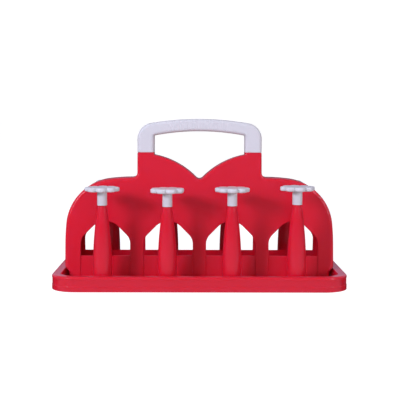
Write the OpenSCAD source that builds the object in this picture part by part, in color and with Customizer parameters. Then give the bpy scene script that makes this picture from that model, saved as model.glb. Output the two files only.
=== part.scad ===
// Carrier for eight upside-down tumblers: a drip tray, a hollow arched centre
// panel in two leaves, a ribbed U-shaped grip, and eight posts whose
// flower-shaped caps turn freely.
// Millimetres. The origin is the centre of the tray's footprint, +Z is up,
// +X runs along the panel and the front faces -Y.

/* [Tray] */
// Length of the tray along X
tray_w = 384; // [382:1:400]
// Depth of the tray along Y
tray_d = 195; // [194:1:220]
// Height of the rim above the table
tray_h = 19.5; // [17:0.5:24]
// Plan radius of the tray's outer corners
tray_corner_r = 33; // [24:1:36]
// Width of the hollow rim, outside to inside
rim_w = 12; // [9:0.5:12.5]
// How far the basin's walls lean in between the rim and the floor
basin_lean = 2.5; // [1:0.5:2.5]
// Wall thickness of the mouldings
wall = 2.4; // [2:0.2:3]
// Gap between the table and the underside of the floor
floor_lift = 3; // [2.5:0.5:4]

/* [Panel] */
// Half the panel's thickness at the table's level
panel_half_t = 33.3; // [30:0.1:34]
// How much that half thickness shrinks per millimetre of height
panel_taper = 0.125; // [0.1:0.005:0.13]
// Half the panel's width at its foot, where it stands in the basin
foot_half_w = 175; // [172:0.5:176]
// Heights between which the foot's chamfer runs
foot_chamfer_z = [15.5, 22]; // [14:0.5:23]
// Radius of the shoulder's corner arc
shoulder_r = 65; // [60:1:70]
// Centre of the shoulder's corner arc, along X and Z
shoulder_c = [114.4, 73.8]; // [70:0.1:116]
// Radius of the flatter arc across the top of the shoulder
shoulder_top_r = 250; // [200:10:300]
// Angle at which the corner arc meets the top arc
shoulder_top_a = 82.5; // [80:0.5:85]
// Radius of the flatter arc down the panel's side
shoulder_side_r = 310; // [250:10:400]
// Angle at which the corner arc meets the side arc
shoulder_side_a = 5; // [4:0.5:7]
// Radius of each lobe between the handle's legs
lobe_r = 108.6; // [105:0.2:112]
// Centre of the right lobe's arc, along X and Z
lobe_c = [82.1, 64.6]; // [64:0.1:84]
// Radius at the bottom of the notch between the lobes
notch_r = 6; // [2:0.5:8]
// Fillet where each handle leg meets the shoulder
leg_fillet_r = 7; // [3:0.5:10]

/* [Windows] */
// Distance between windows, and between posts
pitch = 84; // [80:1:86]
// Half the width of a window
window_half_w = 33; // [28:0.5:34]
// Height of the window sills
sill_z = 36.5; // [34:0.5:38]
// Height of the centres of the window's two side corners
window_corner_z = 52.5; // [51:0.5:54]
// Radius of the window's two side corners
window_corner_r = 16.5; // [14:0.5:18]
// Slope of the window's sides towards its top, in degrees
window_slope = 45; // [43:0.5:47]
// Radius of the window's top
window_top_r = 24; // [21:1:26]
// How far the sill stands back from the pilasters
sill_recess = 1.2; // [0.6:0.1:1.4]

/* [Grip] */
// Half the width of the handle, outside
handle_half_w = 83.8; // [82:0.2:86]
// Half the width of the opening between the handle's legs
handle_gap_half_w = 61; // [58:0.5:63]
// Height of the joint between the red legs and the grip
joint_z = 174.3; // [172:0.1:178]
// Height of the top of the grip
handle_top_z = 219.4; // [216:0.1:224]
// Thickness of the grip's bar at its middle
bar_t = 16.6; // [14:0.2:18]
// Crown radius of the grip's top
grip_crown_r = 387; // [360:1:420]
// Crown radius of the grip's underside
grip_under_r = 318; // [300:1:360]
// Radius of the grip's outer corners
grip_corner_r = 22; // [18:0.5:24]
// Half the depth of the grip along Y
grip_half_d = 11.5; // [10:0.1:11.5]
// Number of finger ribs
ribs = 26; // [20:1:28]
// Distance between finger ribs
rib_pitch = 3.5; // [3:0.1:3.6]
// Depth of the grooves between finger ribs
rib_groove = 0.6; // [0.3:0.1:1]

/* [Posts] */
// Distance of each row of posts from the panel's mid-plane
row_y = 68; // [66:0.5:68]
// Radius of a post where its curve starts
post_r = 12.4; // [11:0.1:12.8]
// Radius of a post under its shoulder
post_top_r = 6; // [5.8:0.1:6.2]
// Height at which a post starts to narrow
post_curve_z = 27; // [22:1:30]
// Height of the shoulder under the spigot
shoulder_z = 106.2; // [100:0.2:110]
// Radius of a post's foot flange
flange_r = 14.5; // [13.5:0.5:14.5]
// Radius of the round spigot that carries the cap
spigot_r = 5.25; // [4.75:0.05:5.3]
// Height of the spigot above the shoulder
spigot_h = 17.4; // [15:0.2:17.4]

/* [Caps] */
// Radial running clearance between cap and spigot
clearance = 0.05; // [0.02:0.01:0.08]
// Outside radius of a cap's sleeve
sleeve_r = 6.4; // [6:0.1:7]
// Length of a cap's sleeve under its flower
sleeve_h = 17.8; // [17.8:0.1:22]
// Thickness of the flower
flower_t = 6.2; // [4:0.2:7]
// Number of petals
petals = 8; // [6:1:10]
// Distance of each petal's centre from the axis
petal_c = 15.4; // [14:0.1:16]
// Radius of a petal
petal_r = 7.2; // [6.4:0.1:8]
// How far each front cap stands above its lowest seat
front_proud = [1.7, 0.1, 1.3, 3.2]; // [0:0.1:3.4]
// How far each back cap stands above its lowest seat
back_proud = [0.3, 0.1, 0.4, 0.2]; // [0:0.1:3]
// Angle at which each front flower rests
front_turn = [2, 20, 0, 6]; // [0:1:45]
// Angle at which each back flower rests
back_turn = [22, 9, 30, 23]; // [0:1:45]

/* [Screws] */
// Radius of a screw's shank
screw_r = 1.45; // [1.2:0.05:1.45]
// Radius of a screw's head
head_r = 3.1; // [2.8:0.1:3.3]
// Height of a screw's head
head_h = 2.2; // [1.6:0.1:2.4]
// Radius of the bosses that the screws bite into
boss_r = 5; // [4.5:0.1:5.5]

/* [Hidden] */
$fn = 96;

red = [0.78, 0.07, 0.13];
white = [0.87, 0.84, 0.9];
zinc = [0.72, 0.73, 0.75];
eps = 0.01;
far = 400;

// Tray
floor_z = floor_lift + wall;             // top of the floor, on which panel and posts stand
band_z = [6.5, 15.5];                    // the rim's outer face is shallowly recessed between these heights
band_inset = 0.5;

// Panel outline: centres that follow from the arcs being tangent
function polar(r, a) = [r * cos(a), r * sin(a)];
top_c = shoulder_c - polar(shoulder_top_r - shoulder_r, shoulder_top_a);
side_c = shoulder_c - polar(shoulder_side_r - shoulder_r, shoulder_side_a);
panel_half_w = side_c.x + shoulder_side_r;
foot_a = atan2(foot_chamfer_z[1] - foot_chamfer_z[0], panel_half_w - foot_half_w);
fillet_x = handle_half_w + leg_fillet_r;
fillet_z = top_c.y + sqrt(pow(shoulder_top_r + leg_fillet_r, 2) - pow(fillet_x - top_c.x, 2));
fillet_a = atan2(fillet_z - top_c.y, fillet_x - top_c.x);
notch_z = lobe_c.y + sqrt(pow(lobe_r + notch_r, 2) - pow(lobe_c.x, 2));
notch_a = atan2(notch_z - lobe_c.y, -lobe_c.x);

// Windows: the slanted side touches the corner arc and the top arc
window_xs = [for (i = [-1.5:1:1.5]) i * pitch];
slope_n = 90 - window_slope;             // direction of the slanted side's normal
slope_x = window_half_w - window_corner_r;
window_top_z = window_corner_z
    + (window_corner_r - window_top_r + slope_x * cos(slope_n)) / sin(slope_n);

// Grip: the corner arc touches the crown
crown_z = handle_top_z - grip_crown_r;
corner_x = handle_half_w - grip_corner_r;
corner_z = crown_z + sqrt(pow(grip_crown_r - grip_corner_r, 2) - pow(corner_x, 2));
under_z = handle_top_z - bar_t - grip_under_r;
tenon_x = (handle_half_w + handle_gap_half_w) / 2;
tenon = [14, 6.5, 15];                   // width, half depth, height
tenon_gap = 0.1;

// Posts and caps
post_len = shoulder_z - post_curve_z;
post_sag = post_r - post_top_r;
post_curve_r = (pow(post_len, 2) + pow(post_sag, 2)) / (2 * post_sag);
flange_t = 2;
flare_r = flange_r - post_r - 0.6;
cap_seat_z = shoulder_z + 0.4;           // lowest place of a sleeve's lower end
bore_h = shoulder_z + spigot_h - cap_seat_z + 0.1;
core_top_z = 98;                         // top of the hollow inside a post
rib_t = 1.6;

// Screws: places along the panel and under the floor
panel_screw_xz = [[-pitch, 62], [0, 62], [pitch, 62], [-45, 118], [45, 118]];
panel_screw_seat = 6;
panel_screw_len = 16;
foot_screw_xy = [for (x = [-pitch, pitch], y = [-1, 1]) [x, y * 20]];
post_screw_xy = [for (x = window_xs, y = [-1, 1]) [x, y * row_y]];
base_screw_len = 14;
foot_boss_h = 18;
screw_gap = 0.05;

function arc(c, r, a0, a1, n) = [for (i = [0:n]) c + polar(r, a0 + (a1 - a0) * i / n)];
function mirrored(half) = [for (i = [len(half) - 1:-1:0]) [-half[i].x, half[i].y]];
function half_t(z) = panel_half_t - panel_taper * z;

// Right half of the panel's outline in X and Z, drawn in by e on every side
function half_outline(e) = concat(
    [[0, floor_z + e], [foot_half_w - e, floor_z + e]],
    [for (i = [0, 1]) [[foot_half_w, panel_half_w][i] - e, foot_chamfer_z[i] + e * tan(45 - foot_a / 2)]],
    arc(side_c, shoulder_side_r - e, 0, shoulder_side_a, 5),
    arc(shoulder_c, shoulder_r - e, shoulder_side_a, shoulder_top_a, 16),
    arc(top_c, shoulder_top_r - e, shoulder_top_a, fillet_a, 4),
    arc([fillet_x, fillet_z], leg_fillet_r + e, fillet_a + 180, 180, 6),
    [[handle_half_w - e, joint_z - e], [handle_gap_half_w + e, joint_z - e]],
    arc(lobe_c, lobe_r - e, acos((handle_gap_half_w + e - lobe_c.x) / (lobe_r - e)), notch_a, 12),
    arc([0, notch_z], notch_r + e, notch_a - 180, -90, 4));

module panel_outline(e) {
    half = half_outline(e);
    polygon(concat(half, mirrored(half)));
}

// The wedge between the seam and one leaf's face, set in by e, front side
module leaf_wedge(e, past_seam = 0) {
    rotate([90, 0, 90])
        translate([0, 0, -far / 2])
            linear_extrude(far)
                polygon([[past_seam, 0], [e - half_t(0), 0], [e - half_t(far / 2), far / 2],
                    [past_seam, far / 2]]);
}

module leaf_solid(e, past_seam = 0) {
    intersection() {
        translate([0, past_seam, 0])
            rotate([90, 0, 0])
                linear_extrude(panel_half_t + past_seam)
                    panel_outline(e);
        leaf_wedge(e, past_seam);
    }
}

// One window's outline in X and Z
module window_outline() {
    half = concat(
        [[window_half_w, sill_z]],
        arc([slope_x, window_corner_z], window_corner_r, 0, slope_n, 4),
        arc([0, window_top_z], window_top_r, slope_n, 90, 6));
    polygon(concat(half, mirrored(half)));
}

module windows() {
    for (x = window_xs)
        translate([x, 1, 0])
            rotate([90, 0, 0])
                linear_extrude(panel_half_t + 2)
                    window_outline();
}

// The shallow step in the leaf's face under each window
module sill_recesses() {
    for (x = window_xs)
        difference() {
            translate([x - window_half_w, -far / 2, floor_z + wall])
                cube([2 * window_half_w, far / 2, sill_z - floor_z - wall + 1]);
            leaf_wedge(sill_recess, 1);
        }
}

module along_y(r, y0, y1) {
    translate([0, y0, 0])
        rotate([-90, 0, 0])
            cylinder(r = r, h = y1 - y0);
}

// One leaf as it faces the front, with the solid part of its bosses
module leaf() {
    difference() {
        leaf_solid(0);
        difference() {
            leaf_solid(wall, 1);
            for (p = panel_screw_xz)
                translate([p.x, 0, p.y])
                    along_y(boss_r, -panel_half_t, 1);
            for (p = foot_screw_xy)
                translate([p.x, p.y, 0])
                    cylinder(r = boss_r, h = floor_z + foot_boss_h);
        }
        windows();
        sill_recesses();
        translate([0, 0, -eps])
            for (p = foot_screw_xy)
                translate(p)
                    cylinder(r = screw_r + screw_gap, h = floor_lift + base_screw_len + 1);
    }
    for (s = [-1, 1])
        translate([s * tenon_x - tenon.x / 2, -tenon.y, joint_z - wall / 2])
            cube([tenon.x, tenon.y, tenon.z + wall / 2]);
}

// Plan of the tray, drawn in by e on every side
module tray_plan(e) {
    r = tray_corner_r - e;
    w = tray_w - 2 * e;
    d = tray_d - 2 * e;
    square([w - 2 * r, d], center = true);
    square([w, d - 2 * r], center = true);
    for (x = [-1, 1], y = [-1, 1])
        translate([x * (w / 2 - r), y * (d / 2 - r)])
            circle(r = r);
}

module slab(e, z0, z1) {
    translate([0, 0, z0])
        linear_extrude(z1 - z0)
            tray_plan(e);
}

module basin_lean_prism(half, length) {
    translate([0, -length / 2, 0])
        rotate([-90, 0, 0])
            linear_extrude(length)
                polygon([[half + 1, -tray_h], [half, -tray_h], [half - basin_lean, -floor_z],
                    [half - basin_lean, 0], [half + 1, 0]]);
}

// The space inside the rim, narrower at the floor
module basin() {
    difference() {
        slab(rim_w, floor_z, tray_h + 1);
        for (a = [0, 180])
            rotate([0, 0, a]) {
                basin_lean_prism(tray_w / 2 - rim_w, tray_d);
                rotate([0, 0, 90])
                    basin_lean_prism(tray_d / 2 - rim_w, tray_w);
            }
    }
}

module base_tray() {
    color(red)
        difference() {
            union() {
                slab(0, 0, band_z[0]);
                slab(band_inset, band_z[0] - eps, band_z[1] + eps);
                slab(0, band_z[1], tray_h);
            }
            basin();
            // hollow under the floor
            slab(wall + band_inset, -1, floor_lift);
            // hollow inside the rim
            difference() {
                slab(wall + band_inset, -1, tray_h - wall);
                slab(rim_w - wall, -2, tray_h);
            }
            for (p = concat(foot_screw_xy, post_screw_xy))
                translate([p.x, p.y, floor_lift - 1])
                    cylinder(r = screw_r + 0.25, h = wall + 2);
        }
}

module panel_front() {
    color(red)
        difference() {
            leaf();
            for (p = panel_screw_xz)
                translate([p.x, 0, p.y])
                    along_y(screw_r + screw_gap, panel_screw_seat - panel_screw_len - 1, 1);
        }
}

module panel_back() {
    color(red)
        mirror([0, 1, 0])
            difference() {
                leaf();
                for (p = panel_screw_xz)
                    translate([p.x, 0, p.y]) {
                        along_y(screw_r + 0.25, -panel_half_t, 1);
                        along_y(head_r + 0.3, -panel_half_t, -panel_screw_seat);
                    }
            }
}

// Outline of the grip in X and Z
module grip_outline() {
    difference() {
        intersection() {
            translate([-handle_half_w, joint_z])
                square([2 * handle_half_w, far]);
            union() {
                intersection() {
                    translate([0, crown_z])
                        circle(r = grip_crown_r, $fn = 720);
                    translate([0, crown_z])
                        polygon([[0, 0], 1.2 * [corner_x, corner_z - crown_z],
                            1.2 * [-corner_x, corner_z - crown_z]]);
                }
                for (s = [-1, 1])
                    translate([s * corner_x, corner_z])
                        circle(r = grip_corner_r);
                translate([-handle_half_w, joint_z])
                    square([2 * handle_half_w, corner_z - joint_z]);
            }
        }
        intersection() {
            translate([0, under_z])
                circle(r = grip_under_r, $fn = 720);
            translate([-handle_gap_half_w, joint_z - 1])
                square([2 * handle_gap_half_w, far]);
        }
    }
}

module handle_grip() {
    groove_w = rib_pitch / 2;
    color(white)
        difference() {
            translate([0, grip_half_d, 0])
                rotate([90, 0, 0])
                    linear_extrude(2 * grip_half_d)
                        grip_outline();
            for (s = [-1, 1])
                translate([s * tenon_x - tenon.x / 2 - tenon_gap, -tenon.y - tenon_gap, joint_z - 1])
                    cube([tenon.x + 2 * tenon_gap, 2 * (tenon.y + tenon_gap), tenon.z + 1.5]);
            for (i = [0:ribs - 1], s = [-1, 1])
                translate([(i - (ribs - 1) / 2) * rib_pitch - groove_w / 2,
                    s * grip_half_d - rib_groove, joint_z])
                    cube([groove_w, 2 * rib_groove, far]);
        }
}

// Half profile of a post's curved shaft, thinned by e
module shaft_profile(e, z0, z1) {
    translate([0, z0])
        square([post_r - e, post_curve_z - z0]);
    intersection() {
        translate([post_r - post_curve_r, post_curve_z])
            circle(r = post_curve_r - e, $fn = 720);
        translate([0, post_curve_z - eps])
            square([post_r - e, z1 - post_curve_z + eps]);
    }
}

// One post at its place, open underneath
module post(x, y) {
    color(red)
        translate([x, y, 0])
            difference() {
                union() {
                    rotate_extrude()
                        union() {
                            shaft_profile(0, floor_z, shoulder_z);
                            translate([0, floor_z])
                                square([flange_r, flange_t]);
                            difference() {
                                translate([0, floor_z + flange_t - eps])
                                    square([post_r + flare_r, flare_r]);
                                translate([post_r + flare_r, floor_z + flange_t + flare_r])
                                    circle(r = flare_r);
                            }
                            translate([0, shoulder_z - eps])
                                square([spigot_r, spigot_h + eps]);
                        }
                }
                difference() {
                    rotate_extrude()
                        shaft_profile(wall - 0.4, floor_z - 1, core_top_z);
                    cylinder(r = boss_r, h = floor_z + foot_boss_h);
                    for (a = [0, 90])
                        rotate(a)
                            translate([-post_r, -rib_t / 2, 0])
                                cube([2 * post_r, rib_t, floor_z + foot_boss_h]);
                }
                cylinder(r = screw_r + screw_gap, h = floor_lift + base_screw_len + 1);
            }
}

// One flower cap at its place, turned to its resting angle
module flower_cap(x, y, proud, turn) {
    color(white)
        translate([x, y, cap_seat_z + proud])
            rotate(turn - 90)
                difference() {
                    union() {
                        cylinder(r = sleeve_r, h = sleeve_h + eps);
                        translate([0, 0, sleeve_h])
                            linear_extrude(flower_t) {
                                circle(r = petal_c);
                                for (i = [0:petals - 1])
                                    translate(polar(petal_c, 360 / petals * i))
                                        circle(r = petal_r);
                            }
                    }
                    translate([0, 0, -1])
                        cylinder(r = spigot_r + clearance, h = bore_h + 1);
                }
}

// One pan-head screw, head down, its seat at the origin
module screw(length) {
    translate([0, 0, -head_h])
        cylinder(r = head_r, h = head_h);
    cylinder(r = screw_r, h = length);
}

module base_screws() {
    color(zinc)
        for (p = concat(foot_screw_xy, post_screw_xy))
            translate([p.x, p.y, floor_lift])
                screw(base_screw_len);
}

module panel_screws() {
    color(zinc)
        for (p = panel_screw_xz)
            translate([p.x, panel_screw_seat, p.y])
                rotate([90, 0, 0])
                    screw(panel_screw_len);
}

base_tray();
panel_front();
panel_back();
handle_grip();
for (i = [0:3]) {
    post(window_xs[i], -row_y);
    post(window_xs[i], row_y);
    flower_cap(window_xs[i], -row_y, front_proud[i], front_turn[i]);
    flower_cap(window_xs[i], row_y, back_proud[i], back_turn[i]);
}
base_screws();
panel_screws();
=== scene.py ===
import math

import bmesh
import bpy
from mathutils import Matrix, Vector

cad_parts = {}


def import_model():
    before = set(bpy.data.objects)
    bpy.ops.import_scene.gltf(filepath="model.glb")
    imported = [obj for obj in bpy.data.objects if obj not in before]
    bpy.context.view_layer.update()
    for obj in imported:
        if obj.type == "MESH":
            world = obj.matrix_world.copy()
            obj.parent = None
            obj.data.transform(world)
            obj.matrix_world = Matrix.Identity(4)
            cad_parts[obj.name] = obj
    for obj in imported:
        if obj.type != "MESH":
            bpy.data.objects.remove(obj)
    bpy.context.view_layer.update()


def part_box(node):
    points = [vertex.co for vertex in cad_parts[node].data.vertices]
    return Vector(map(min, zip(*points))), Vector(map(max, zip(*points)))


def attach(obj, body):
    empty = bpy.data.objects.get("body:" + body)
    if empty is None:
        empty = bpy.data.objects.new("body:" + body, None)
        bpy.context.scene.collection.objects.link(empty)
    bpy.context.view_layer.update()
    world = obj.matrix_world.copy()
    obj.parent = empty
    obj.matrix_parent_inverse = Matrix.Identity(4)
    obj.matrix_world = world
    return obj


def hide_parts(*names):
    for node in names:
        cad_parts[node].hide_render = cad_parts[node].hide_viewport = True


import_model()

# Shapes are worked out in millimetres and turned into metres as each mesh is made.
MM = 0.001


def box_mm(node):
    lo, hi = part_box(node)
    return lo / MM, hi / MM


# ---------------------------------------------------------------- sizes, in mm
tray_lo, tray_hi = box_mm("base_tray")
leaf_lo, leaf_hi = box_mm("panel_front")
grip_lo, grip_hi = box_mm("handle_grip")
post_lo, post_hi = box_mm("post_front_1")
cap_lo, cap_hi = box_mm("flower_cap_front_1")

# Tray
TRAY_W = tray_hi.x - tray_lo.x
TRAY_D = tray_hi.y - tray_lo.y
TRAY_H = tray_hi.z
TRAY_CORNER_R = 33
RIM_W = 12
BASIN_LEAN = 2.5
WALL = 2.4
FLOOR_Z = leaf_lo.z
FLOOR_LIFT = FLOOR_Z - WALL
BAND_LOW, BAND_HIGH = 6.5, 15.5
BAND_INSET = 0.5

# Panel
PANEL_HALF_W = leaf_hi.x
PANEL_TAPER = 0.125
PANEL_HALF_T = -leaf_lo.y + PANEL_TAPER * FLOOR_Z
SHOULDER_R, SHOULDER_X, SHOULDER_Z = 65, 114.4, 73.8
SHOULDER_TOP_R, SHOULDER_TOP_A = 250, 82.5
SHOULDER_SIDE_R, SHOULDER_SIDE_A = 310, 5
LOBE_R, LOBE_X, LOBE_Z = 108.6, 82.1, 64.6
NOTCH_R = 6
LEG_FILLET_R = 7
LEG_TIP_R = 1.6
FOOT_HALF_W = 175
FOOT_CHAMFER = (15.5, 22)
SHOULDER_EDGE_R = 4.5
LEG_EDGE_R = 3
EDGE_STEPS = 7
SEAM_W = 0.6
SEAM_DEPTH = 0.35

# Windows and the recessed sills under them
PITCH = 84
WINDOW_XS = [(i - 1.5) * PITCH for i in range(4)]
WINDOW_HALF_W = 33
SILL_Z = 36.5
WINDOW_CORNER_Z = 52.5
WINDOW_CORNER_R = 16.5
WINDOW_TOP_R = 24
WINDOW_NORMAL_A = 45
WINDOW_TOP_Z = WINDOW_CORNER_Z + (
    WINDOW_CORNER_R - WINDOW_TOP_R
    + (WINDOW_HALF_W - WINDOW_CORNER_R) * math.cos(math.radians(WINDOW_NORMAL_A))
) / math.sin(math.radians(WINDOW_NORMAL_A))
SILL_RECESS = 1.2
WINDOW_EDGE_R = 1.0
SILL_EDGE_R = 0.8

# Screws
SCREW_XZ = [(-PITCH, 62), (0, 62), (PITCH, 62), (-45, 118), (45, 118)]
BOSS_R = 5
FOOT_SCREW_Y = 20
FOOT_BOSS_TOP = FLOOR_Z + 18
COUNTERBORE_R = 3.4
SCREW_R = 1.45
SCREW_SEAT_Y = 6
HEAD_R = 3.1
HEAD_H = 2.2
FOOT_SCREW_LEN, PANEL_SCREW_LEN = 14, 16

# Grip
JOINT_Z = grip_lo.z
GRIP_TOP_Z = grip_hi.z
GRIP_HALF_W = grip_hi.x
GRIP_GAP_HALF_W = 61
GRIP_HALF_D = grip_hi.y
BAR_T = 16.6
CROWN_R, UNDER_R = 387, 318
GRIP_CORNER_R, GRIP_INNER_R = 22, 2.2
GRIP_EDGE_R = 4.5
RIBS, RIB_PITCH, RIB_GROOVE = 26, 3.5, 0.3

# Posts and caps
ROW_Y = -(post_lo.y + post_hi.y) / 2
POST_R, POST_TOP_R = 12.4, 6
POST_CURVE_Z, POST_SHOULDER_Z = 27, 106.2
FLANGE_R, FLANGE_T = (post_hi.x - post_lo.x) / 2, 2
FLARE_R = FLANGE_R - POST_R - 0.6
SPIGOT_R = 5.25
SLEEVE_R, SLEEVE_H, BORE_R, BORE_H = 6.4, 17.8, 5.3, 17.1
FLOWER_T = cap_hi.z - cap_lo.z - SLEEVE_H
PETALS, PETAL_C, PETAL_R = 8, 15.4, 7.2
FLOWER_MIDDLE = 0.85
FRONT_TURN = [2, 20, 0, 6]
BACK_TURN = [22, 9, 30, 23]


# ---------------------------------------------------------------- plane geometry
def polar(radius, degrees):
    a = math.radians(degrees)
    return Vector((radius * math.cos(a), radius * math.sin(a)))


def arc(cx, cz, radius, a0, a1, n):
    return [Vector((cx, cz)) + polar(radius, a0 + (a1 - a0) * i / n) for i in range(n + 1)]


def half_t(z):
    """Half the panel's thickness at height z."""
    return PANEL_HALF_T - PANEL_TAPER * z


def half_outline(e):
    """Right half of the panel's outline in X and Z, drawn in by e, from its foot up to the notch."""
    top = Vector((SHOULDER_X, SHOULDER_Z)) - polar(SHOULDER_TOP_R - SHOULDER_R, SHOULDER_TOP_A)
    side = Vector((SHOULDER_X, SHOULDER_Z)) - polar(SHOULDER_SIDE_R - SHOULDER_R, SHOULDER_SIDE_A)
    fillet_x = GRIP_HALF_W + LEG_FILLET_R
    reach = SHOULDER_TOP_R + LEG_FILLET_R
    fillet_z = top.y + math.sqrt(reach**2 - (fillet_x - top.x) ** 2)
    fillet_a = math.degrees(math.atan2(fillet_z - top.y, fillet_x - top.x))
    notch_z = LOBE_Z + math.sqrt((LOBE_R + NOTCH_R) ** 2 - LOBE_X**2)
    notch_a = math.degrees(math.atan2(notch_z - LOBE_Z, -LOBE_X))
    lobe_a = math.degrees(math.acos((GRIP_GAP_HALF_W + e - LOBE_X) / (LOBE_R - e)))
    tip = arc(GRIP_HALF_W - LEG_TIP_R - e, JOINT_Z - LEG_TIP_R, LEG_TIP_R, 0, 90, 4)
    rise = e * math.tan(math.radians(45) - math.atan2(FOOT_CHAMFER[1] - FOOT_CHAMFER[0],
                                                      PANEL_HALF_W - FOOT_HALF_W) / 2)
    shoulder = (
        [Vector((FOOT_HALF_W - e, FLOOR_Z)), Vector((FOOT_HALF_W - e, FOOT_CHAMFER[0] + rise)),
         Vector((PANEL_HALF_W - e, FOOT_CHAMFER[1] + rise))]
        + arc(side.x, side.y, SHOULDER_SIDE_R - e, 0, SHOULDER_SIDE_A, 8)
        + arc(SHOULDER_X, SHOULDER_Z, SHOULDER_R - e, SHOULDER_SIDE_A, SHOULDER_TOP_A, 36)[1:]
        + arc(top.x, top.y, SHOULDER_TOP_R - e, SHOULDER_TOP_A, fillet_a, 8)[1:]
    )
    fillet = arc(fillet_x, fillet_z, LEG_FILLET_R + e, fillet_a + 180, 180, 10)[1:]
    lobe = (
        [Vector((GRIP_GAP_HALF_W + e, JOINT_Z))]
        + arc(LOBE_X, LOBE_Z, LOBE_R - e, lobe_a, notch_a, 26)
        + arc(0, notch_z, NOTCH_R + e, notch_a - 180, -90, 7)[1:]
    )
    radii = (
        [SHOULDER_EDGE_R] * len(shoulder)
        + [SHOULDER_EDGE_R + (LEG_EDGE_R - SHOULDER_EDGE_R) * (i + 1) / len(fillet)
           for i in range(len(fillet))]
        + [LEG_EDGE_R] * (len(tip) + len(lobe))
    )
    return shoulder + fillet + tip + lobe, radii


def panel_outline():
    """Whole outline from the right foot to the left one: points, inward directions and edge radii."""
    at_0, radii = half_outline(0)
    at_1, _ = half_outline(1)
    right = [(p, q - p, r) for p, q, r in zip(at_0, at_1, radii)]
    flip = lambda v: Vector((-v.x, v.y))
    return right + [(flip(p), flip(n), r) for p, n, r in reversed(right[:-1])]


def window_side(o):
    """Right half of a window's edge, moved outwards by o, from the floor up to the apex."""
    a = WINDOW_NORMAL_A
    return (
        [Vector((WINDOW_HALF_W + o, FLOOR_Z)), Vector((WINDOW_HALF_W + o, SILL_Z))]
        + arc(WINDOW_HALF_W - WINDOW_CORNER_R, WINDOW_CORNER_Z, WINDOW_CORNER_R + o, 0, a, 6)
        + arc(0, WINDOW_TOP_Z, WINDOW_TOP_R + o, a, 90, 10)
    )


def doorway(x, o):
    """A window's edge and its sill's two sides, from the left foot over the apex to the right foot."""
    right = window_side(o)
    left = [Vector((-p.x, p.y)) for p in right[:-1]]
    return [Vector((x + p.x, p.y)) for p in left + right[::-1]]


def circle(cx, cz, radius, n=32):
    return [Vector((cx, cz)) + polar(radius, 360 * i / n) for i in range(n)]


# ---------------------------------------------------------------- mesh helpers
def add_ring(bm, points):
    return [bm.verts.new(Vector(p) * MM) for p in points]


def bridge(bm, a, b, closed=True):
    n = len(a)
    for i in range(n if closed else n - 1):
        j = (i + 1) % n
        bm.faces.new((a[i], a[j], b[j], b[i]))


def bridge_all(bm, rings, closed=True):
    for a, b in zip(rings, rings[1:]):
        bridge(bm, a, b, closed)


def loop_edges(bm, verts):
    out = []
    for a, b in zip(verts, verts[1:] + verts[:1]):
        out.append(bm.edges.get((a, b)) or bm.edges.new((a, b)))
    return out


def fill(bm, loops, normal):
    """Fills the first loop, leaving out the others."""
    edges = [e for loop in loops for e in loop_edges(bm, loop)]
    bmesh.ops.triangle_fill(bm, edges=edges, use_beauty=True, normal=normal)


def finish_mesh(bm, name, material, body, nodes=(), sharp=35, weighted=True):
    bmesh.ops.remove_doubles(bm, verts=bm.verts[:], dist=0.004 * MM)
    bmesh.ops.dissolve_degenerate(bm, edges=bm.edges[:], dist=0.002 * MM)
    bmesh.ops.recalc_face_normals(bm, faces=bm.faces[:])
    mesh = bpy.data.meshes.new(name)
    bm.to_mesh(mesh)
    bm.free()
    mesh.polygons.foreach_set("use_smooth", [True] * len(mesh.polygons))
    mesh.set_sharp_from_angle(angle=math.radians(sharp))
    mesh.materials.append(material)
    obj = bpy.data.objects.new(name, mesh)
    bpy.context.scene.collection.objects.link(obj)
    if weighted:
        mod = obj.modifiers.new("even_shading", "WEIGHTED_NORMAL")
        mod.keep_sharp = True
        mod.weight = 80
    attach(obj, body)
    if nodes:
        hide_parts(*nodes)
    return obj


def lathe(bm, profile, x=0.0, y=0.0, segments=64):
    """Turns a list of (radius, z) about the vertical line through x, y. A radius of 0 closes the end."""
    rings = []
    for r, z in profile:
        n = 1 if r == 0 else segments
        pts = [(x + r * math.cos(2 * math.pi * i / segments),
                y + r * math.sin(2 * math.pi * i / segments), z) for i in range(n)]
        rings.append(add_ring(bm, pts))
    for a, b in zip(rings, rings[1:]):
        for i in range(segments):
            j = (i + 1) % segments
            if len(a) == 1:
                bm.faces.new((a[0], b[j], b[i]))
            elif len(b) == 1:
                bm.faces.new((a[i], a[j], b[0]))
            else:
                bm.faces.new((a[i], a[j], b[j], b[i]))
    return rings


def quarter(cx, cz, radius, a0, a1, n=5):
    return [tuple(p) for p in arc(cx, cz, radius, a0, a1, n)]


# ---------------------------------------------------------------- materials
def node(tree, kind, **values):
    n = tree.nodes.new(kind)
    for key, value in values.items():
        if key in n.inputs:
            n.inputs[key].default_value = value
        else:
            setattr(n, key, value)
    return n


def material(name):
    mat = bpy.data.materials.new(name)
    mat.use_nodes = True
    tree = mat.node_tree
    tree.nodes.clear()
    out = tree.nodes.new("ShaderNodeOutputMaterial")
    bsdf = tree.nodes.new("ShaderNodeBsdfPrincipled")
    tree.links.new(bsdf.outputs["BSDF"], out.inputs["Surface"])
    coords = tree.nodes.new("ShaderNodeTexCoord")
    return mat, tree, bsdf, coords.outputs["Object"]


def noise(tree, coords, scale, detail=2.0, stretch=(1, 1, 1)):
    mapping = node(tree, "ShaderNodeMapping")
    mapping.inputs["Scale"].default_value = stretch
    tree.links.new(coords, mapping.inputs["Vector"])
    tex = node(tree, "ShaderNodeTexNoise", Scale=scale, Detail=detail)
    tree.links.new(mapping.outputs["Vector"], tex.inputs["Vector"])
    return tex.outputs["Fac"]


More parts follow.
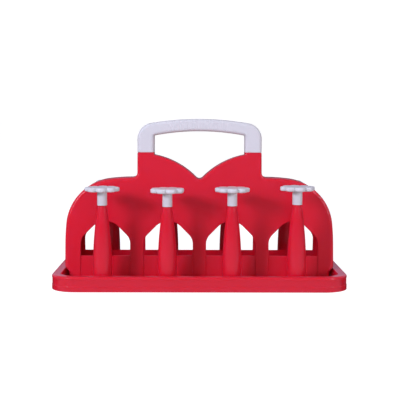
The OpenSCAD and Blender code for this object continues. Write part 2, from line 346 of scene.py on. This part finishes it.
def spread(tree, value, low, high, out_low, out_high):
    """Maps low..high of a 0..1 value to out_low..out_high."""
    n = node(tree, "ShaderNodeMapRange")
    n.inputs["From Min"].default_value = low
    n.inputs["From Max"].default_value = high
    n.inputs["To Min"].default_value = out_low
    n.inputs["To Max"].default_value = out_high
    tree.links.new(value, n.inputs["Value"])
    return n.outputs["Result"]


def mix(tree, factor, a, b):
    n = node(tree, "ShaderNodeMix", data_type="RGBA")
    tree.links.new(factor, n.inputs["Factor"])
    sockets = [s for s in n.inputs if s.type == "RGBA"]
    for socket, value in zip(sockets, (a, b)):
        if isinstance(value, tuple):
            socket.default_value = (*value, 1)
        else:
            tree.links.new(value, socket)
    return [s for s in n.outputs if s.type == "RGBA"][0]


def moulded_plastic(name, deep, pale, scuffed, rough, flow, peel):
    """Injection-moulded plastic: cloudy pigment, flow lines, orange peel, and scuffs on the edges."""
    mat, tree, bsdf, coords = material(name)
    link = tree.links.new
    cloud = spread(tree, noise(tree, coords, 14, 3), 0.3, 0.7, 0, 1)
    colour = mix(tree, cloud, deep, pale)
    # edges that hands and shelves rub
    geometry = node(tree, "ShaderNodeNewGeometry")
    edge = spread(tree, geometry.outputs["Pointiness"], 0.53, 0.62, 0, 0.35)
    patch = spread(tree, noise(tree, coords, 90, 4), 0.45, 0.75, 0, 1)
    wear = node(tree, "ShaderNodeMath", operation="MULTIPLY")
    link(edge, wear.inputs[0])
    link(patch, wear.inputs[1])
    link(mix(tree, wear.outputs[0], colour, scuffed), bsdf.inputs["Base Color"])
    # hazier and shinier places, with fine rubbing marks along X
    rub = noise(tree, coords, 150, 5, (1, 4, 4))
    rough_base = spread(tree, rub, 0.3, 0.7, rough[0], rough[1])
    rougher = node(tree, "ShaderNodeMath", operation="MULTIPLY_ADD")
    link(wear.outputs[0], rougher.inputs[0])
    rougher.inputs[1].default_value = 0.3
    link(rough_base, rougher.inputs[2])
    link(rougher.outputs[0], bsdf.inputs["Roughness"])
    # bump: slow flow waves from the mould and a fine peel
    waves = node(tree, "ShaderNodeBump", Strength=flow, Distance=0.0006)
    link(noise(tree, coords, 22, 1), waves.inputs["Height"])
    grain = node(tree, "ShaderNodeBump", Strength=peel, Distance=0.0001)
    link(noise(tree, coords, 900, 2), grain.inputs["Height"])
    link(waves.outputs["Normal"], grain.inputs["Normal"])
    link(grain.outputs["Normal"], bsdf.inputs["Normal"])
    return mat, bsdf


def red_plastic():
    mat, bsdf = moulded_plastic("red_gloss_plastic", (0.60, 0.009, 0.024), (0.63, 0.010, 0.027),
                                (0.66, 0.04, 0.07), (0.31, 0.33), 0.1, 0.05)
    bsdf.inputs["IOR"].default_value = 1.5
    bsdf.inputs["Specular IOR Level"].default_value = 0.25
    bsdf.inputs["Coat Weight"].default_value = 0.5
    bsdf.inputs["Coat Roughness"].default_value = 0.06
    # light soaks through the thin walls
    bsdf.inputs["Subsurface Weight"].default_value = 0.55
    bsdf.inputs["Subsurface Radius"].default_value = (1, 0.06, 0.08)
    bsdf.inputs["Subsurface Scale"].default_value = 0.006
    return mat


def white_plastic():
    mat, bsdf = moulded_plastic("white_satin_plastic", (0.56, 0.57, 0.53), (0.60, 0.61, 0.57),
                                (0.74, 0.74, 0.70), (0.32, 0.42), 0.1, 0.1)
    bsdf.inputs["IOR"].default_value = 1.49
    bsdf.inputs["Subsurface Weight"].default_value = 0.08
    bsdf.inputs["Subsurface Radius"].default_value = (0.003, 0.002, 0.002)
    return mat


def zinc_steel():
    mat, tree, bsdf, coords = material("zinc_plated_steel")
    link = tree.links.new
    cloud = spread(tree, noise(tree, coords, 300, 3), 0.3, 0.7, 0, 1)
    link(mix(tree, cloud, (0.55, 0.56, 0.58), (0.68, 0.68, 0.66)), bsdf.inputs["Base Color"])
    bsdf.inputs["Metallic"].default_value = 1
    turned = noise(tree, coords, 700, 2, (1, 1, 8))
    link(spread(tree, turned, 0.3, 0.7, 0.28, 0.45), bsdf.inputs["Roughness"])
    bump = node(tree, "ShaderNodeBump", Strength=0.15, Distance=0.0001)
    link(turned, bump.inputs["Height"])
    link(bump.outputs["Normal"], bsdf.inputs["Normal"])
    return mat


RED = red_plastic()
WHITE = white_plastic()
ZINC = zinc_steel()


# ---------------------------------------------------------------- tray
def plan_ring(e, z):
    """The tray's rounded plan drawn in by e, at height z."""
    r = TRAY_CORNER_R - e
    cx = TRAY_W / 2 - TRAY_CORNER_R
    cy = TRAY_D / 2 - TRAY_CORNER_R
    points = []
    for sx, sy, a0 in ((1, 1, 0), (-1, 1, 90), (-1, -1, 180), (1, -1, 270)):
        points += [(p.x, p.y, z) for p in arc(sx * cx, sy * cy, r, a0, a0 + 90, 12)]
    return points


def tray():
    h = TRAY_H
    outer_r, inner_r, floor_r, edge = 3, 1, 0.5, 0.4
    profile = [(edge, 0)]
    profile += quarter(edge, edge, edge, 270, 180, 3)[1:]
    # the outer face, with a shallow band let into it over a small curve on each side
    band_curve = [(0, -edge), (0.05, -0.12), (0.2, 0), (BAND_INSET, edge)]
    profile += [(e, BAND_LOW + rise) for e, rise in band_curve]
    profile += [(e, BAND_HIGH - rise) for e, rise in reversed(band_curve)]
    profile += quarter(outer_r, h - outer_r, outer_r, 180, 90, 8)
    profile += quarter(RIM_W - inner_r, h - inner_r, inner_r, 90, 0, 5)
    profile += quarter(RIM_W + BASIN_LEAN + floor_r, FLOOR_Z + floor_r, floor_r, 180, 270, 3)
    inside = WALL + BAND_INSET
    under = [(RIM_W - WALL, FLOOR_LIFT), (RIM_W - WALL, h - WALL), (inside, h - WALL), (inside, 0)]
    bm = bmesh.new()
    rings = [add_ring(bm, plan_ring(e, z)) for e, z in under + profile]
    bridge_all(bm, rings)
    bm.faces.new(rings[-1])
    bm.faces.new(rings[0])
    return finish_mesh(bm, "tray_moulding", RED, "stand", ["base_tray"], sharp=40)


# ---------------------------------------------------------------- panel leaves
def leaf(name, side, node_name):
    """One leaf of the panel. side is -1 for the front and 1 for the back."""
    bm = bmesh.new()
    outline = panel_outline()
    back = side > 0

    def at(p, depth):
        """The point at outline place p, that far behind the leaf's face."""
        return (p.x, side * (half_t(p.y) - depth), p.y)

    turns = [math.radians(90 * i / EDGE_STEPS) for i in range(EDGE_STEPS + 1)]

    # outer skin, from the seam to the face
    rings = [add_ring(bm, [(p.x + n.x * SEAM_DEPTH, 0, p.y + n.y * SEAM_DEPTH) for p, n, r in outline]),
             add_ring(bm, [(p.x, side * SEAM_W, p.y) for p, n, r in outline])]
    for t in turns:
        rings.append(add_ring(bm, [at(p + n * (r * (1 - math.cos(t))), r * (1 - math.sin(t)))
                                   for p, n, r in outline]))
    bridge_all(bm, rings, closed=False)

    # doorway edges: rounded from the face into the opening, then the sill's step and lip
    rounds = [math.radians(30 * i) for i in range(4)]
    sill_rounds = [math.radians(22.5 * i) for i in range(5)]
    face_loops, foot_loops, openings = [], [], []
    for x in WINDOW_XS:
        edge = [add_ring(bm, [at(p, WINDOW_EDGE_R * (1 - math.cos(a)))
                              for p in doorway(x, WINDOW_EDGE_R * (1 - math.sin(a)))])
                for a in rounds]
        bridge_all(bm, edge, closed=False)
        lip = edge[-1]
        sides = doorway(x, 0)
        inner = add_ring(bm, [at(p, WALL) for p in sides[1:-1]])
        for i in range(1, len(sides) - 3):
            bm.faces.new((lip[i + 1], lip[i + 2], inner[i + 1], inner[i]))
        left, right = [], []
        for b in sill_rounds:
            z = SILL_Z - SILL_EDGE_R * (1 - math.sin(b))
            depth = SILL_RECESS + SILL_EDGE_R * (1 - math.cos(b))
            left += add_ring(bm, [at(Vector((x - WINDOW_HALF_W, z)), depth)])
            right += add_ring(bm, [at(Vector((x + WINDOW_HALF_W, z)), depth)])
        foot_l, foot_r = add_ring(bm, [at(Vector((x + s * WINDOW_HALF_W, FLOOR_Z)), SILL_RECESS)
                                       for s in (-1, 1)])
        left, right = [foot_l] + left + [inner[0]], [foot_r] + right + [inner[-1]]
        bridge(bm, left, right, closed=False)
        bm.faces.new([lip[0], lip[1]] + left[-2::-1])
        bm.faces.new([lip[-1], lip[-2]] + right[-2::-1])
        bm.faces.new([lip[1], lip[2], inner[1], inner[0], left[-2]])
        bm.faces.new([lip[-2], lip[-3], inner[-2], inner[-1], right[-2]])
        face_loops.append(edge[0])
        foot_loops.append([e[0] for e in edge] + [foot_l, foot_r] + [e[-1] for e in edge[::-1]])
        openings.append(inner)

    # the face itself
    face = rings[-1] + [v for loop in face_loops for v in loop]
    holes = []
    if back:
        for cx, cz in SCREW_XZ:
            mouth = [add_ring(bm, [at(p, d) for p in circle(cx, cz, COUNTERBORE_R + o)])
                     for o, d in ((0.6, 0), (0.18, 0.18), (0, 0.6))]
            seat = add_ring(bm, [(p.x, SCREW_SEAT_Y, p.y) for p in circle(cx, cz, COUNTERBORE_R)])
            bridge_all(bm, mouth + [seat])
            bm.faces.new(seat)
            holes.append(mouth[0])
    fill(bm, [face] + holes, (0, side, 0))

    # foot, on the tray's floor
    foot = [r[0] for r in rings] + [v for loop in reversed(foot_loops) for v in reversed(loop)]
    bm.faces.new(foot + [r[-1] for r in reversed(rings)])

    # inner skin, from the face's inside to the seam
    low, high = FLOOR_Z + WALL, JOINT_Z - WALL
    inset = [Vector((v.x, min(max(v.y, low), high))) for v in half_outline(WALL)[0]]
    inset += [Vector((-v.x, v.y)) for v in reversed(inset[:-1])]
    skin = [add_ring(bm, [(v.x, 0, v.y) for v in inset])]
    for t in turns:
        skin.append(add_ring(bm, [
            at(v + n * ((r - WALL) * (1 - math.cos(t))), WALL + (r - WALL) * (1 - math.sin(t)))
            for v, (p, n, r) in zip(inset, outline)]))
    bridge_all(bm, skin)
    bridge(bm, rings[0], skin[0])
    bosses = []
    for cx, cz in SCREW_XZ:
        base = add_ring(bm, [at(p, WALL) for p in circle(cx, cz, BOSS_R)])
        tip = add_ring(bm, [(p.x, 0, p.y) for p in circle(cx, cz, BOSS_R)])
        bridge_all(bm, [base, tip])
        bm.faces.new(tip)
        bosses.append(base)
    fill(bm, [skin[-1]] + openings + bosses, (0, -side, 0))
    # bosses for the foot screws, standing on the leaf's own floor
    for x in (-PITCH, PITCH):
        lathe(bm, [(0, FLOOR_Z + WALL / 2), (BOSS_R, FLOOR_Z + WALL / 2), (BOSS_R, FOOT_BOSS_TOP),
                   (0, FOOT_BOSS_TOP)], x, side * FOOT_SCREW_Y, 32)
    return finish_mesh(bm, name, RED, "stand", [node_name], sharp=38)


# ---------------------------------------------------------------- grip
def grip_stations():
    """Pairs of outer and inner points in X and Z, from the left joint over the bar to the right joint."""
    crown_z = GRIP_TOP_Z - CROWN_R
    corner_x = GRIP_HALF_W - GRIP_CORNER_R
    corner_z = crown_z + math.sqrt((CROWN_R - GRIP_CORNER_R) ** 2 - corner_x**2)
    under_z = GRIP_TOP_Z - BAR_T - UNDER_R
    inner_x = GRIP_GAP_HALF_W - GRIP_INNER_R
    inner_z = under_z + math.sqrt((UNDER_R - GRIP_INNER_R) ** 2 - inner_x**2)
    crown_a = math.degrees(math.atan2(corner_z - crown_z, corner_x))
    under_a = math.degrees(math.atan2(inner_z - under_z, inner_x))
    leg_steps, corner_steps, run_steps, per_rib = 9, 14, 6, 8
    right = []
    for i in range(leg_steps):
        share = i / leg_steps
        right.append((Vector((GRIP_HALF_W, JOINT_Z + (corner_z - JOINT_Z) * share)),
                      Vector((GRIP_GAP_HALF_W, JOINT_Z + (inner_z - JOINT_Z) * share))))
    for i in range(corner_steps + 1):
        share = i / corner_steps
        right.append((Vector((corner_x, corner_z)) + polar(GRIP_CORNER_R, crown_a * share),
                      Vector((inner_x, inner_z)) + polar(GRIP_INNER_R, under_a * share)))
    last_outer, last_inner = right[-1]
    span = RIBS * RIB_PITCH / 2
    steps = [span + (inner_x - span) * (1 - i / run_steps) for i in range(1, run_steps)]
    steps += [span - RIB_PITCH * i / per_rib for i in range(int(RIBS / 2 * per_rib) + 1)]
    for x in steps:
        outer_x = x + (last_outer.x - last_inner.x) * max(0, (x - span) / (inner_x - span))
        right.append((Vector((outer_x, crown_z + math.sqrt(CROWN_R**2 - outer_x**2))),
                      Vector((x, under_z + math.sqrt(UNDER_R**2 - x**2)))))
    left = [(Vector((-o.x, o.y)), Vector((-i.x, i.y))) for o, i in reversed(right[:-1])]
    return right + left


def rib_factor(x):
    """How far the grip's faces are drawn in at x, as a share of the groove's depth."""
    half = RIBS * RIB_PITCH / 2
    if abs(x) >= half:
        return 0.0
    wave = 0.5 - 0.5 * math.cos(2 * math.pi * (x + half) / RIB_PITCH)
    fade = min(1.0, (half - abs(x)) / RIB_PITCH)
    return (1 - (1 - wave) ** 0.7) * fade


def section(outer, inner, inset=0.0):
    """The grip's rounded section between an outer and an inner point, all round."""
    across = inner - outer
    length = across.length
    step = across / length
    r = GRIP_EDGE_R - inset
    d = GRIP_HALF_D - inset
    points = []
    for cu, cv, a0 in ((GRIP_EDGE_R, -d + r, 270), (GRIP_EDGE_R, d - r, 180),
                       (length - GRIP_EDGE_R, d - r, 90), (length - GRIP_EDGE_R, -d + r, 0)):
        for i in range(7):
            a = math.radians(a0 - 90 * i / 6)
            u, v = cu + r * math.cos(a), cv + r * math.sin(a)
            p = outer + step * u
            groove = RIB_GROOVE * rib_factor(p.x) * min(1, abs(v) / GRIP_HALF_D * 1.2)
            points.append((p.x, v - math.copysign(groove, v), p.y))
    return points


def grip():
    bm = bmesh.new()
    stations = grip_stations()
    chamfer = 0.4
    rings = [add_ring(bm, section(*stations[0], inset=chamfer))]
    first_o, first_i = stations[0]
    lift = Vector((0, chamfer))
    rings.append(add_ring(bm, section(first_o + lift, first_i + lift)))
    rings += [add_ring(bm, section(o, i)) for o, i in stations[1:-1]]
    last_o, last_i = stations[-1]
    rings.append(add_ring(bm, section(last_o + lift, last_i + lift)))
    rings.append(add_ring(bm, section(last_o, last_i, inset=chamfer)))
    bridge_all(bm, rings)
    bm.faces.new(rings[0])
    bm.faces.new(rings[-1])
    return finish_mesh(bm, "grip_moulding", WHITE, "stand", ["handle_grip"], sharp=50)


# ---------------------------------------------------------------- posts
def post_profile():
    length = POST_SHOULDER_Z - POST_CURVE_Z
    sag = POST_R - POST_TOP_R
    curve_r = (length**2 + sag**2) / (2 * sag)
    end_a = math.degrees(math.asin(length / curve_r))
    spigot_top = post_hi.z
    flare_c = (POST_R + FLARE_R, FLOOR_Z + FLANGE_T + FLARE_R)
    edge = 0.7
    profile = [(0, FLOOR_Z), (FLANGE_R, FLOOR_Z), (FLANGE_R, FLOOR_Z + FLANGE_T - edge)]
    profile += quarter(FLANGE_R - edge, FLOOR_Z + FLANGE_T - edge, edge, 0, 90, 4)
    profile += quarter(*flare_c, FLARE_R, 270, 180, 8)
    profile += [(POST_R, 20)]
    profile += quarter(POST_R - curve_r, POST_CURVE_Z, curve_r, 0, end_a, 26)[:-1]
    profile += quarter(POST_TOP_R - 0.4, POST_SHOULDER_Z - 0.4, 0.4, 10, 90, 3)
    profile += [(SPIGOT_R, POST_SHOULDER_Z), (SPIGOT_R, spigot_top - 0.5), (SPIGOT_R - 0.5, spigot_top),
                (0, spigot_top)]
    return profile


def post(node_name):
    lo, hi = box_mm(node_name)
    centre = (lo + hi) / 2
    bm = bmesh.new()
    lathe(bm, post_profile(), centre.x, centre.y)
    return finish_mesh(bm, node_name + "_moulding", RED, "stand", [node_name], sharp=50)


# ---------------------------------------------------------------- caps
def petal_outline(a):
    """Distance from the axis to the flower's edge in direction a, in degrees from a petal's middle."""
    step = 360 / PETALS
    a = math.radians((a + step / 2) % step - step / 2)
    return PETAL_C * math.cos(a) + math.sqrt(PETAL_R**2 - (PETAL_C * math.sin(a)) ** 2)


def dome(distance, radius, power):
    share = min(1.0, distance / radius)
    return (1 - share**power) ** (1 / power)


def petal_height(r, a):
    """Half the flower's thickness there, as a share of its greatest: domed petals round a lower middle."""
    step = 360 / PETALS
    a = math.radians((a + step / 2) % step - step / 2)
    to_petal = math.hypot(r * math.cos(a) - PETAL_C, r * math.sin(a))
    return max(dome(to_petal, PETAL_R, 4), FLOWER_MIDDLE * dome(r, PETAL_C, 6))


def cap(name, node_name, body, turn):
    lo, hi = box_mm(node_name)
    centre = (lo + hi) / 2
    segments = PETALS * 14
    half = FLOWER_T / 2
    mid_z = hi.z - half
    seat_z = lo.z
    bm = bmesh.new()

    def ring(fn):
        pts = []
        for i in range(segments):
            a = 360 * i / segments
            r, z = fn(a)
            b = math.radians(a + turn - 90)
            pts.append((centre.x + r * math.cos(b), centre.y + r * math.sin(b), z))
        return add_ring(bm, pts)

    fillet = 1.2
    neck = SLEEVE_R + fillet
    bore_top = seat_z + BORE_H
    rings = []
    # bore, sleeve, fillet under the flower
    for r, z in ((BORE_R, bore_top), (BORE_R, seat_z + 0.3), (BORE_R + 0.3, seat_z),
                 (SLEEVE_R - 0.35, seat_z), (SLEEVE_R - 0.1, seat_z + 0.1), (SLEEVE_R, seat_z + 0.35)):
        rings.append(ring(lambda a, r=r, z=z: (r, z)))
    under_z = mid_z - half * FLOWER_MIDDLE
    for r, z in quarter(neck, under_z - fillet, fillet, 180, 90, 4):
        rings.append(ring(lambda a, r=r, z=z: (r, z)))
    # underside out to the edge, then the top back in to the middle
    shares = [0.12, 0.25, 0.38, 0.5, 0.6, 0.7, 0.78, 0.85, 0.91, 0.955, 0.985]
    for s in shares:
        def under(a, s=s):
            r = neck + (petal_outline(a) - neck) * s
            return r, mid_z - half * petal_height(r, a)
        rings.append(ring(under))
    rings.append(ring(lambda a: (petal_outline(a), mid_z)))
    for s in reversed(shares):
        def over(a, s=s):
            r = neck + (petal_outline(a) - neck) * s
            return r, mid_z + half * petal_height(r, a)
        rings.append(ring(over))
    for r in (neck, neck * 0.7, neck * 0.4, neck * 0.15):
        rings.append(ring(lambda a, r=r: (r, mid_z + half * petal_height(r, a))))
    bridge_all(bm, rings)
    bm.faces.new(rings[0])
    bm.faces.new(rings[-1])
    return finish_mesh(bm, name, WHITE, body, [node_name], sharp=55, weighted=False)


# ---------------------------------------------------------------- screws
def screw_mesh(bm, place, out, length):
    """A pan-head screw. place is under the head, and out points from there to the head."""
    before = set(bm.verts)
    crown = 0.7
    profile = [(0, -length), (SCREW_R * 0.4, -length), (SCREW_R, -length + 2), (SCREW_R, 0), (HEAD_R, 0)]
    profile += quarter(HEAD_R - crown, HEAD_H - crown, crown, 0, 90, 5)
    profile += [(0, HEAD_H)]
    lathe(bm, profile, segments=32)
    made = [v for v in bm.verts if v not in before]
    # stood in its place
    turn = Vector((0, 0, 1)).rotation_difference(Vector(out)).to_matrix()
    for v in made:
        v.co = turn @ v.co + Vector(place) * MM


def cross_recess(obj, places, out):
    """Cuts a cross into each screw head."""
    bm = bmesh.new()
    depth, arm, width = 1.3, 1.9, 0.75
    turn = Vector((0, 0, 1)).rotation_difference(Vector(out)).to_matrix().to_4x4()
    for place in places:
        for size in ((2 * arm, width, 2 * depth), (width, 2 * arm, 2 * depth)):
            move = Matrix.Translation(Vector(place) * MM) @ turn @ Matrix.Translation((0, 0, HEAD_H * MM))
            bmesh.ops.create_cube(bm, size=1, matrix=move @ Matrix.Diagonal((*(Vector(size) * MM), 1)))
    mesh = bpy.data.meshes.new("cutter")
    bm.to_mesh(mesh)
    bm.free()
    cutter = bpy.data.objects.new("cutter", mesh)
    bpy.context.scene.collection.objects.link(cutter)
    mod = obj.modifiers.new("cut", "BOOLEAN")
    mod.object = cutter
    mod.solver = "EXACT"
    mod.use_self = True
    bpy.context.view_layer.update()
    result = bpy.data.meshes.new_from_object(obj.evaluated_get(bpy.context.evaluated_depsgraph_get()))
    obj.modifiers.remove(mod)
    obj.data = result
    result.set_sharp_from_angle(angle=math.radians(40))
    bpy.data.objects.remove(cutter)


def screws(name, node_name, places, out, length):
    bm = bmesh.new()
    for place in places:
        screw_mesh(bm, place, out, length)
    obj = finish_mesh(bm, name, ZINC, "stand", [node_name], sharp=40, weighted=False)
    cross_recess(obj, places, out)
    return obj


# ---------------------------------------------------------------- the object
tray()
leaf("panel_leaf_front", -1, "panel_front")
leaf("panel_leaf_back", 1, "panel_back")
grip()
for row in ("front", "back"):
    turns = FRONT_TURN if row == "front" else BACK_TURN
    for i in range(4):
        post(f"post_{row}_{i + 1}")
        cap(f"cap_{row}_{i + 1}_flower", f"flower_cap_{row}_{i + 1}", f"cap_{row}_{i + 1}", turns[i])
foot_places = [(x, s * FOOT_SCREW_Y, FLOOR_LIFT) for x in (-PITCH, PITCH) for s in (-1, 1)]
foot_places += [(x, s * ROW_Y, FLOOR_LIFT) for x in WINDOW_XS for s in (-1, 1)]
screws("foot_screw_set", "base_screws", foot_places, (0, 0, -1), FOOT_SCREW_LEN)
panel_places = [(x, SCREW_SEAT_Y, z) for x, z in SCREW_XZ]
screws("panel_screw_set", "panel_screws", panel_places, (0, 1, 0), PANEL_SCREW_LEN)


# ---------------------------------------------------------------- floor, light, camera
FLOOR_REACH, BACKDROP_R = 30, 20         # metres
LAVENDER = (0.85, 0.82, 1.0)
VIOLET = (0.74, 0.74, 1.0)
# elevation in degrees and the dome's colour there, in front of the object and behind it
FRONT_DOME = ((-90, (0.64, 0.54, 0.60)), (-8, (0.56, 0.49, 0.62)), (0, (0.38, 0.34, 0.44)),
              (4, (0.04, 0.03, 0.03)), (6, (0.04, 0.03, 0.03)), (9, (0.12, 0.11, 0.14)),
              (13, (0.34, 0.33, 0.46)), (40, (0.26, 0.25, 0.30)))
BACK_DOME = ((-90, (0.06, 0.03, 0.03)), (7, (0.06, 0.03, 0.03)), (12, (0.64, 0.62, 0.92)),
             (40, (0.30, 0.28, 0.34)))


def stage_material(name, glow):
    """Pale paper that scatters light and, as a lit studio sweep does, also glows a little."""
    mat, tree, bsdf, coords = material(name)
    tint = spread(tree, noise(tree, coords, 3, 2), 0.3, 0.7, 0, 1)
    tree.links.new(mix(tree, tint, (0.24, 0.24, 0.25), (0.26, 0.26, 0.26)), bsdf.inputs["Base Color"])
    bsdf.inputs["Roughness"].default_value = 0.9
    bsdf.inputs["Specular IOR Level"].default_value = 0
    bsdf.inputs["Emission Color"].default_value = (1, 1, 1, 1)
    bsdf.inputs["Emission Strength"].default_value = glow
    return mat


def floor():
    bm = bmesh.new()
    bmesh.ops.create_grid(bm, x_segments=8, y_segments=8, size=FLOOR_REACH)
    mesh = bpy.data.meshes.new("studio_floor")
    bm.to_mesh(mesh)
    bm.free()
    mesh.materials.append(stage_material("pale_floor", 0.93))
    obj = bpy.data.objects.new("studio_floor", mesh)
    bpy.context.scene.collection.objects.link(obj)
    obj.visible_diffuse = False
    obj.visible_glossy = False


def backdrop():
    """A plain white wall all round, far away. It only fills the background and lights nothing."""
    bm = bmesh.new()
    bmesh.ops.create_uvsphere(bm, u_segments=48, v_segments=24, radius=BACKDROP_R)
    mesh = bpy.data.meshes.new("studio_backdrop")
    bm.to_mesh(mesh)
    bm.free()
    mesh.materials.append(stage_material("white_backdrop", 1.0))
    obj = bpy.data.objects.new("studio_backdrop", mesh)
    bpy.context.scene.collection.objects.link(obj)
    obj.visible_diffuse = False
    obj.visible_glossy = False
    obj.visible_transmission = False
    obj.visible_shadow = False


def softbox(name, azimuth, elevation, distance, width, height, watts, colour, glint=False):
    """A rectangular light aimed at the middle of the object. Azimuth 0 is the front, positive to the right.

    A glint is only mirrored in glossy faces; the others only light them."""
    data = bpy.data.lights.new(name, "AREA")
    data.shape = "RECTANGLE"
    data.size, data.size_y = width, height
    data.energy = watts
    data.color = colour
    obj = bpy.data.objects.new(name, data)
    bpy.context.scene.collection.objects.link(obj)
    obj.visible_glossy = glint
    obj.visible_diffuse = not glint
    a, e = math.radians(azimuth), math.radians(elevation)
    target = Vector((0, 0, 0.1))
    away = Vector((math.sin(a) * math.cos(e), -math.cos(a) * math.cos(e), math.sin(e)))
    obj.location = target + away * distance
    obj.rotation_euler = away.to_track_quat("Z", "Y").to_euler()


def dome_ramp(tree, height, colours):
    """One half of the dome: its colour by elevation."""
    ramp = tree.nodes.new("ShaderNodeValToRGB")
    tree.links.new(height, ramp.inputs["Fac"])
    stops = ramp.color_ramp.elements
    while len(stops) < len(colours):
        stops.new(1.0)
    for stop, (elevation, colour) in zip(stops, colours):
        stop.position = (math.sin(math.radians(elevation)) + 1) / 2
        stop.color = (*colour, 1)
    return ramp.outputs["Color"]


def world():
    """A soft studio dome: a lit table in front, dark just over the horizon, bright above."""
    w = bpy.data.worlds.new("studio")
    bpy.context.scene.world = w
    w.use_nodes = True
    tree = w.node_tree
    coords = tree.nodes.new("ShaderNodeTexCoord")
    split = tree.nodes.new("ShaderNodeSeparateXYZ")
    tree.links.new(coords.outputs["Generated"], split.inputs["Vector"])
    height = spread(tree, split.outputs["Z"], -1, 1, 0, 1)
    behind = spread(tree, split.outputs["Y"], -0.1, 0.2, 0, 1)
    colour = mix(tree, behind, dome_ramp(tree, height, FRONT_DOME), dome_ramp(tree, height, BACK_DOME))
    tree.links.new(colour, tree.nodes["Background"].inputs["Color"])


def camera():
    """The photographer's place, as millimetres and degrees from the object's frame."""
    place = Vector((-9.3, -1259.2, 228.1))
    yaw, pitch, roll = (math.radians(a) for a in (0.46, 5.40, 0.187))
    focal = 2.316625  # as a share of the picture's width
    ahead = Vector((math.sin(yaw) * math.cos(pitch), math.cos(yaw) * math.cos(pitch), -math.sin(pitch)))
    level = Vector((math.cos(yaw), -math.sin(yaw), 0))
    upright = level.cross(ahead)
    right = math.cos(roll) * level + math.sin(roll) * upright
    up = -math.sin(roll) * level + math.cos(roll) * upright
    data = bpy.data.cameras.new("camera")
    data.sensor_width = 36
    data.lens = focal * data.sensor_width
    obj = bpy.data.objects.new("camera", data)
    bpy.context.scene.collection.objects.link(obj)
    basis = Matrix((right, up, -ahead)).transposed()
    obj.matrix_world = Matrix.Translation(place * MM) @ basis.to_4x4()
    bpy.context.scene.camera = obj


floor()
backdrop()
world()
softbox("key_left", -43, 20, 2.2, 0.6, 0.5, 43, VIOLET)
softbox("fill_right", 62, 8, 2.0, 1.0, 0.5, 15, LAVENDER)
softbox("fill_front", 14, 6, 2.0, 1.2, 0.4, 5, LAVENDER)
softbox("strip_left", -50, 26, 1.2, 0.2, 0.5, 3, LAVENDER, glint=True)
softbox("strip_right", 52, 26, 1.2, 0.2, 0.5, 3, LAVENDER, glint=True)
softbox("overhead", -35, 62, 1.2, 1.0, 0.8, 4, LAVENDER)
camera()
bpy.context.scene.view_settings.view_transform = "Standard"
